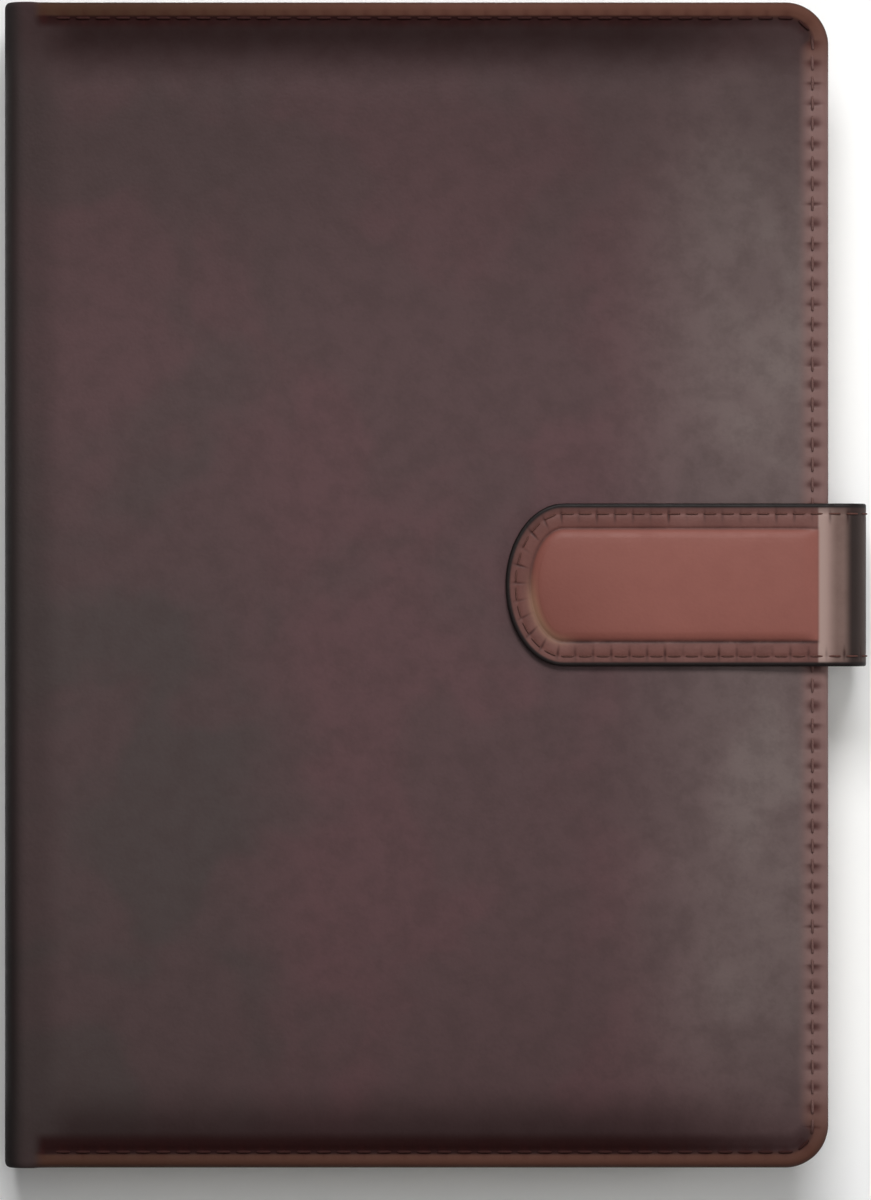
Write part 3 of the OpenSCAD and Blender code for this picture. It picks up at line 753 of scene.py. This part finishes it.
def case_material():
    """Dark mauve-brown leatherette with charcoal clouds, most of them on the spine's side.

    Shade is painted darker towards head, tail and spine, and a grey sheen is painted towards the fore-edge.
    Its groove is painted dark red as shade, its rim redder, and the skin is drawn in with painted shade where
    a stitch enters it.
    """
    material, tree, shader, place, uv = surface("case_leatherette", 0.5, 0.16)
    skin = use_group(tree, LEATHERETTE, Vector=place, Pebble=1500.0, Depth=0.016)
    x, y, z = put(tree, "SeparateXYZ", {0: place}).outputs
    along, inset, _ = put(tree, "SeparateXYZ", {0: uv}).outputs
    from_middle = calc(tree, "ABSOLUTE", y)
    hem = span(tree, x, PLATE_X - 2.0, PLATE_X + 0.5)
    by_end = span(tree, from_middle, HALF_L - 10, HALF_L - 5)
    by_tail = span(tree, y, 10 - HALF_L, 5 - HALF_L)

    # The field: charcoal clouds, a painted grey sheen by the fore-edge and a fine speckle
    charcoal = times(tree, span(tree, x, -12, -40), span(tree, y, 50, -20, 0.35, 1.0))
    clouds = ramp(tree, skin["Clouds"], 0.0, 1.0, -0.1, 0.35)
    charcoal = calc(tree, "ADD", times(tree, charcoal, 0.7), clouds)
    colour = mix(tree, calc(tree, "MAXIMUM", charcoal, 0.0), MAUVE, CHARCOAL)
    clear = ramp(tree, skin["Clouds"], 1.0, 0.0, 0.6, 1.0)
    # Painted sheen: grey towards the fore-edge where the clouds are clear
    painted_sheen = times(tree, span(tree, x, 30, 68), span(tree, from_middle, HALF_L + 8, 70), clear, 0.9)
    colour = mix(tree, painted_sheen, colour, PAINTED_SHEEN_GREY)
    colour = mix(tree, ramp(tree, skin["Speckle"], 0.35, 0.7, 0.0, 0.3), colour, FINE_SPECKLE)

    # Painted shade: darker towards head and tail, most of all beside the groove, and by the hinge
    far_head = span(tree, y, 30, HALF_L - 8, 0.0, 0.45)
    far_tail = span(tree, y, -50, 8 - HALF_L, 0.0, 0.15)
    colour = mix(tree, calc(tree, "ADD", far_head, far_tail), colour, PAINTED_SHADE_MAUVE)
    near_head = span(tree, y, HALF_L - 17, HALF_L - 5.5, 0.0, 0.95)
    near_tail = span(tree, y, 17 - HALF_L, 6 - HALF_L, 0.0, 0.75)
    near_ends = calc(tree, "ADD", near_head, near_tail)
    from_hinge = span(tree, x, PLATE_X - 4, PLATE_X + 7, 0.2, 1.0)
    shade = times(tree, near_ends, span(tree, x, 40, 72, 1.0, 0.4), from_hinge)
    colour = mix(tree, shade, colour, DEEP_SHADE)
    colour = mix(tree, span(tree, x, PLATE_X + 5, PLATE_X - 1, 0.0, 0.4), colour, HINGE_SHADE)

    # The rim outside the stitches, lighter at the fore-edge and darker by the hinge and at the tail partly as
    # painted light and shade, and the edge that rolls under, darkened as painted shade
    end_rim = mix(tree, span(tree, x, PLATE_X, 20), HINGE_RIM, END_RIM)
    end_rim = mix(tree, times(tree, by_tail, 0.5), end_rim, TAIL_RIM)
    rim = mix(tree, span(tree, from_middle, HALF_L - 20, HALF_L - 2), FORE_RIM, end_rim)
    rim_from, rim_to = ramp(tree, by_end, 0.0, 1.0, 6.0, 3.5), ramp(tree, by_end, 0.0, 1.0, 3.0, 2.3)
    colour = mix(tree, times(tree, ramp(tree, inset, rim_from, rim_to), hem), colour, rim)
    under = times(tree, ramp(tree, inset, 1.1, -0.3), ramp(tree, by_end, 0.0, 1.0, 0.25, 0.6), hem)
    colour = mix(tree, under, colour, UNDER_RIM_SHADE)

    # Painted shade: the groove at head and tail, weaker towards the fore-edge, and the puckers at the
    # stitches
    inner, outer = ramp(tree, by_tail, 0.0, 1.0, 5.2, 7.5), ramp(tree, by_tail, 0.0, 1.0, 3.6, 4.8)
    groove = times(tree, ramp(tree, inset, inner, outer), ramp(tree, inset, 2.2, 2.9), hem, by_end)
    groove = times(tree, groove, span(tree, x, 35, 72, 1.0, 0.5))
    colour = mix(tree, groove, colour, GROOVE_SHADE_RED)
    width = ramp(tree, uneven(tree, along, 3.1), 0.3, 0.7, 0.3, 1.1)
    gap = calc(tree, "DIVIDE", to_stitch_gap(tree, along, STITCH_PITCH), width)
    pucker_and_shade = times(tree, bell(tree, gap, 0.0, 1.0), bell(tree, inset, 2.8, 1.35), hem)
    pucker_and_shade = times(tree, pucker_and_shade, ramp(tree, by_end, 0.0, 1.0, 1.0, 0.35))
    colour = mix(tree, times(tree, pucker_and_shade, 0.8), colour, PUCKER_SHADE_RED)

    # Painted shade: the spine's round edges are dark, most towards the tail, and its flat back keeps the
    # field's colour
    spine = span(tree, x, HINGE_X + 1.6, SPINE_X + 0.6)
    spine_colour = mix(tree, span(tree, y, 50, -80), SPINE_SHADE_HEAD, SPINE_SHADE_TAIL)
    from_back = calc(tree, "ABSOLUTE", calc(tree, "SUBTRACT", z, TOP_Z / 2 * MM))
    back = span(tree, from_back, TOP_Z / 2 - 1.2, TOP_Z / 2 - 4.0, 0.0, 0.85)
    spine_colour = mix(tree, back, spine_colour, colour)
    colour = mix(tree, times(tree, spine, 0.9), colour, spine_colour)

    tree.links.new(colour, shader.inputs["Base Color"])
    rough = ramp(tree, skin["Speckle"], 0.3, 0.75, 0.44, 0.54)
    tree.links.new(calc(tree, "ADD", rough, times(tree, near_ends, 0.34)), shader.inputs["Roughness"])
    bump(tree, shader, calc(tree, "SUBTRACT", skin["Height"], times(tree, pucker_and_shade, 0.2)))
    return material


def strap_material():
    """Terracotta leatherette on the panel, with a browner border and a taupe side whose paler grey is painted
    sheen.

    Dark lines of painted shade follow the panel and the edge, ticks of painted shade cross the border at
    the stitches, and a highlight is painted pale on the border's inner side at the tip on the tail's side.
    """
    material, tree, shader, place, uv = surface("strap_leatherette", 0.5, 0.2)
    skin = use_group(tree, LEATHERETTE, Vector=place, Pebble=1700.0, Depth=0.014)
    x, y, z = put(tree, "SeparateXYZ", {0: place}).outputs
    along, inset, _ = put(tree, "SeparateXYZ", {0: uv}).outputs
    speckle = ramp(tree, skin["Speckle"], 0.35, 0.7, 0.0, 0.4)

    # The border, with a painted taupe sheen and then painted shade round the bend, and a painted highlight on
    # the crease where the lap folds
    border = mix(tree, skin["Clouds"], BORDER_DARK, BORDER_LIGHT)
    border = mix(tree, ramp(tree, skin["Speckle"], 0.35, 0.7, 0.0, 0.5), border, BORDER_SPECKLE)
    taupe = mix(tree, speckle, TAUPE_SHEEN, TAUPE_SHEEN_SPECKLE)
    border = mix(tree, span(tree, x, PANEL_END_X + 0.4, FORE_X + 1.0), border, taupe)
    border = mix(tree, span(tree, x, SIDE_X - 4.6, SIDE_X - 2.7), border, BEND_SHADE)
    border = mix(tree, span(tree, x, SIDE_X - 2.3, SIDE_X - 0.3), border, SIDE_BROWN)
    crease_start = span(tree, x, PANEL_END_X - 0.2, PANEL_END_X + 0.3)
    crease_end = span(tree, x, FORE_X + 1.6, PANEL_END_X + 0.7)
    border = mix(tree, times(tree, crease_start, crease_end), border, CREASE_HIGHLIGHT)

    # The panel, with painted shade at its lower left
    terracotta = mix(tree, speckle, TERRACOTTA, TERRACOTTA_SPECKLE)
    lower_left = times(tree, span(tree, x, 46, 22), span(tree, y, 12, -8, 0.4, 1.0))
    terracotta = mix(tree, times(tree, lower_left, 0.7), terracotta, TERRACOTTA_SHADE)
    on_lap = times(tree, span(tree, x, PANEL_END_X + 0.6, PANEL_END_X - 0.4), span(tree, z, 15, 20))
    panel = times(tree, ramp(tree, inset, BORDER_W - 0.5, BORDER_W + 0.3), on_lap)
    colour = mix(tree, panel, border, terracotta)

    # A painted highlight inside the border at the tip, and painted shade as the dark line round the panel
    lower = times(tree, span(tree, y, 4, -5), span(tree, x, 31, 23))
    tip_highlight = times(tree, bell(tree, inset, BORDER_W - 0.1, 0.9), lower, 0.7)
    colour = mix(tree, tip_highlight, colour, TIP_HIGHLIGHT_PALE)
    # Painted shade: a dark line round the panel, strongest on its lower side
    line = times(tree, bell(tree, inset, BORDER_W - 0.4, 0.28), on_lap)
    line = times(tree, line, ramp(tree, skin["Speckle"], 0.3, 0.6, 0.6, 0.95))
    line = times(tree, line, span(tree, y, 2, -8, 0.45, 1.0), calc(tree, "SUBTRACT", 1.0, tip_highlight))
    colour = mix(tree, line, colour, FOLD_SHADE_LINE)

    # Painted shade in the ticks at the stitches, and painted shade and shadow along the edge
    gap = to_stitch_gap(tree, along, STRAP_PITCH)
    depth = ramp(tree, uneven(tree, along, 2.7), 0.35, 0.65, 0.2, 0.9)
    tick = times(tree, bell(tree, gap, 0.0, 0.26), bell(tree, inset, 2.3, 1.2), depth)
    colour = mix(tree, tick, colour, STITCH_TICK_SHADE)
    soft_edge = times(tree, ramp(tree, inset, 2.3, 0.7), span(tree, y, 0, 10, 0.15, 0.5))
    colour = mix(tree, soft_edge, colour, SOFT_EDGE_SHADE)
    colour = mix(tree, ramp(tree, inset, 1.05, 0.55), colour, EDGE_SHADOW)

    tree.links.new(colour, shader.inputs["Base Color"])
    tree.links.new(ramp(tree, skin["Speckle"], 0.3, 0.75, 0.46, 0.56), shader.inputs["Roughness"])
    bump(tree, shader, calc(tree, "SUBTRACT", skin["Height"], times(tree, tick, 0.12)))
    return material


def lining_material():
    """Dark matte leatherette that lines the covers and the strap."""
    material, tree, shader, place, _ = surface("lining_leatherette", 0.62)
    skin = use_group(tree, LEATHERETTE, Vector=place, Pebble=2200.0, Depth=0.02)
    colour = mix(tree, skin["Clouds"], srgb(58, 43, 40), srgb(66, 50, 46))
    colour = mix(tree, ramp(tree, skin["Speckle"], 0.4, 0.7, 0.0, 0.5), colour, srgb(44, 32, 30))
    tree.links.new(colour, shader.inputs["Base Color"])
    bump(tree, shader, skin["Height"])
    return material


def thread_material(name, dark, light, at_ends):
    """Thread with its twist and stray fibres; near head and tail it has another colour, which on the cover is
    the groove's painted shade.
    """
    material, tree, shader, place, uv = surface(name, 0.85, 0.15)
    flat = put(tree, "SeparateXYZ", {0: uv}).outputs
    turn = calc(tree, "ADD", times(tree, flat["X"], 2.2), flat["Y"])
    ply = calc(tree, "ABSOLUTE", calc(tree, "SINE", times(tree, turn, 2 * math.pi)))
    colour = mix(tree, ply, dark, light)
    colour = mix(tree, ramp(tree, noise(tree, place, 0.3), 0.4, 0.7, 0.0, 0.3), colour, srgb(124, 92, 84))
    from_middle = calc(tree, "ABSOLUTE", put(tree, "SeparateXYZ", {0: place}).outputs["Y"])
    colour = mix(tree, span(tree, from_middle, HALF_L - 10, HALF_L - 5, 0.0, 0.9), colour, at_ends)
    tree.links.new(colour, shader.inputs["Base Color"])
    bump(tree, shader, times(tree, ply, 0.08))
    return material


def paper_material(name, light, dark, fleck, lines=0.0):
    """Paper or card with fibres and clouds; lines shows the edges of stacked leaves along Z."""
    material, tree, shader, place, _ = surface(name, 0.8, 0.3)
    fibre = use_group(tree, FIBRE, Vector=place)
    colour = mix(tree, fibre["Clouds"], light, dark)
    colour = mix(tree, times(tree, fibre["Fleck"], 0.3), colour, fleck)
    height = fibre["Height"]
    if lines:
        leaf = noise(tree, scaled(tree, place, (0.02, 0.02, 1.0)), 0.17, 1.0, 0.4)
        colour = mix(tree, ramp(tree, leaf, 0.55, 0.36, 0.0, lines), colour, dark)
        height = calc(tree, "ADD", height, times(tree, leaf, 0.12))
    tree.links.new(colour, shader.inputs["Base Color"])
    bump(tree, shader, height)
    return material


def gauze_material():
    """Open cotton gauze stiffened with glue."""
    material, tree, shader, place, _ = surface("spine_gauze_cloth", 0.85, 0.3, 0.2)
    weave = use_group(tree, WEAVE, Vector=place, Count=3600.0)
    colour = mix(tree, weave["Gap"], srgb(226, 220, 206), srgb(176, 160, 132))
    colour = mix(tree, noise(tree, place, 6.0), colour, srgb(206, 194, 170))
    tree.links.new(colour, shader.inputs["Base Color"])
    bump(tree, shader, times(tree, weave["Height"], 0.1))
    return material


def bead_material():
    """Beads wrapped with red and cream thread in turn."""
    material, tree, shader, place, uv = surface("bead_thread", 0.65, 0.4, 0.3)
    flat = put(tree, "SeparateXYZ", {0: uv}).outputs
    turn = calc(tree, "FRACT", times(tree, flat["X"], 0.5))
    colour = mix(tree, ramp(tree, turn, 0.46, 0.54), srgb(132, 42, 36), srgb(206, 190, 158))
    colour = mix(tree, ramp(tree, noise(tree, place, 0.35), 0.35, 0.7, 0.0, 0.5), colour, srgb(92, 44, 36))
    tree.links.new(colour, shader.inputs["Base Color"])
    bump(tree, shader, times(tree, noise(tree, place, 0.25), 0.05))
    return material


def foam_material():
    """Cream padding foam with open pores."""
    material, tree, shader, place, _ = surface("padding_foam", 0.95, 0.2)
    pores = put(tree, "TexVoronoi", {"Vector": place, "Scale": 1600.0}).outputs["Distance"]
    colour = mix(tree, ramp(tree, pores, 0.1, 0.5), srgb(176, 166, 140), srgb(232, 226, 206))
    tree.links.new(colour, shader.inputs["Base Color"])
    bump(tree, shader, times(tree, pores, 0.2))
    return material


def steel_material():
    """Brushed steel of the magnets' cups."""
    material, tree, shader, place, _ = surface("magnet_steel", 0.35)
    shader.inputs["Metallic"].default_value = 1.0
    brushed = noise(tree, scaled(tree, place, (0.05, 1.0, 1.0)), 0.12, 3.0)
    tree.links.new(mix(tree, brushed, srgb(176, 176, 180), srgb(206, 206, 208)), shader.inputs["Base Color"])
    tree.links.new(ramp(tree, brushed, 0.3, 0.7, 0.28, 0.48), shader.inputs["Roughness"])
    bump(tree, shader, times(tree, brushed, 0.01))
    return material


def finish_with(material, *names):
    """Gives pieces or CAD nodes a material in all their slots."""
    for name in names:
        mesh = bpy.data.objects[name].data
        mesh.materials.clear()
        mesh.materials.append(material)


strap_dark, strap_light = srgb(84, 50, 45), srgb(102, 68, 61)
# Near head and tail the cover's thread takes the groove's painted shade
cover_sewing = thread_material("cover_thread", srgb(106, 74, 70), srgb(124, 95, 90), srgb(46, 14, 12))
strap_sewing = thread_material("strap_thread", strap_dark, strap_light, strap_dark)
leaf_edges = paper_material("leaf_edges", srgb(244, 240, 228), srgb(214, 206, 186), srgb(200, 188, 164), 0.8)
endpaper = paper_material("endpaper_sheet", srgb(238, 231, 212), srgb(230, 221, 200), srgb(202, 190, 162))
grey_board = paper_material("grey_board", srgb(168, 158, 142), srgb(146, 136, 122), srgb(110, 98, 84))
finish_with(case_material(), "front_leather", "back_leather")
finish_with(strap_material(), "strap_leather")
finish_with(lining_material(), "strap_lining", "front_cover_lining", "back_cover_lining")
finish_with(cover_sewing, "front_thread", "back_thread")
finish_with(strap_sewing, "strap_thread")
finish_with(bead_material(), "head_bead", "tail_bead")
finish_with(gauze_material(), "spine_gauze")
finish_with(foam_material(), "front_cover_foam", "back_cover_foam", "strap_flap_pad")
finish_with(steel_material(), "front_magnet", "strap_flap_magnet")
finish_with(leaf_edges, "leaves")
finish_with(endpaper, "front_endpaper", "back_endpaper")
finish_with(grey_board, "front_cover_board", "back_cover_board", "spine_card")


# ---- Floor, lights and camera ----

def look_at(obj, place, target):
    """Puts a lamp or camera at a place and turns it to a target, both in metres."""
    obj.location = place
    direction = Vector(target) - Vector(place)
    obj.rotation_euler = direction.to_track_quat("-Z", "Y").to_euler()


def softbox(name, place, target, width, height, power):
    """A rectangular studio lamp that the camera doesn't see."""
    lamp = bpy.data.lights.new(name, "AREA")
    lamp.shape = "RECTANGLE"
    lamp.size, lamp.size_y = width, height
    lamp.energy = power
    obj = bpy.data.objects.new(name, lamp)
    bpy.context.scene.collection.objects.link(obj)
    look_at(obj, place, target)
    obj.visible_camera = False


def studio_floor():
    """A round floor that sweeps up far away: flat for 12 m, then a quarter circle of 3 m."""
    bend = np.linspace(0, math.pi / 2, 9)
    reach = np.concatenate([[0.0, 0.5, 3.0], 12 + 3 * np.sin(bend)])[:, None]
    height = np.concatenate([[0.0, 0.0, 0.0], 3 - 3 * np.cos(bend)])[:, None]
    around = np.linspace(0, 2 * math.pi, 65)[None, :]
    points = np.stack([reach * np.cos(around), reach * np.sin(around), height - 0.0002 + around * 0], axis=-1)
    mesh = bpy.data.meshes.new("studio_floor")
    mesh.from_pydata(points.reshape(-1, 3).tolist(), [], quads(len(reach), 65).tolist())
    obj = bpy.data.objects.new("studio_floor", mesh)
    bpy.context.scene.collection.objects.link(obj)
    return obj


def floor_material():
    """White paint that takes the shadow near the object and is plain white for the camera further away."""
    material, tree, shader, place, _ = surface("floor_paint", 0.9, 0.1)
    shader.inputs["Base Color"].default_value = (0.97, 0.97, 0.97, 1.0)
    away = put(tree, "VectorMath", {0: place}, operation="LENGTH").outputs["Value"]
    path = put(tree, "LightPath").outputs
    seen = calc(tree, "MAXIMUM", path["Is Camera Ray"], path["Is Glossy Ray"])
    seen = calc(tree, "MAXIMUM", seen, path["Is Transmission Ray"])
    glow = put(tree, "Emission", {"Color": (1.0, 1.0, 1.0, 1.0), "Strength": 1.0}).outputs[0]
    share = times(tree, ramp(tree, away, 0.15, 0.5), seen)
    both = put(tree, "MixShader", {0: share, 1: shader.outputs[0], 2: glow}).outputs[0]
    tree.links.new(both, tree.nodes["Material Output"].inputs["Surface"])
    return material


floor = studio_floor()
floor.data.materials.append(floor_material())

softbox("key", (0.04, 0.70, 0.96), (0, 0, 0), 0.55, 0.42, 10.8)
softbox("overhead", (0.08, 0.0, 0.54), (0.05, 0, 0.024), 0.16, 0.26, 0.3)
softbox("right_panel", (0.75, -0.02, 0.5), (0, 0, 0), 0.3, 0.6, 1.4)

world = bpy.data.worlds.new("studio")
bpy.context.scene.world = world
world.use_nodes = True
world.node_tree.nodes["Background"].inputs["Color"].default_value = (1.0, 1.0, 1.0, 1.0)
world.node_tree.nodes["Background"].inputs["Strength"].default_value = 0.16

camera_data = bpy.data.cameras.new("camera")
camera_data.lens = 180
camera_data.sensor_width = 36
camera_data.sensor_fit = "AUTO"
camera = bpy.data.objects.new("camera", camera_data)
bpy.context.scene.collection.objects.link(camera)
camera.location = (0.00352, -0.00277, 0.024 + 1.1052)
camera.rotation_euler = (0, 0, 0)
bpy.context.scene.camera = camera
bpy.context.scene.view_settings.view_transform = "Standard"
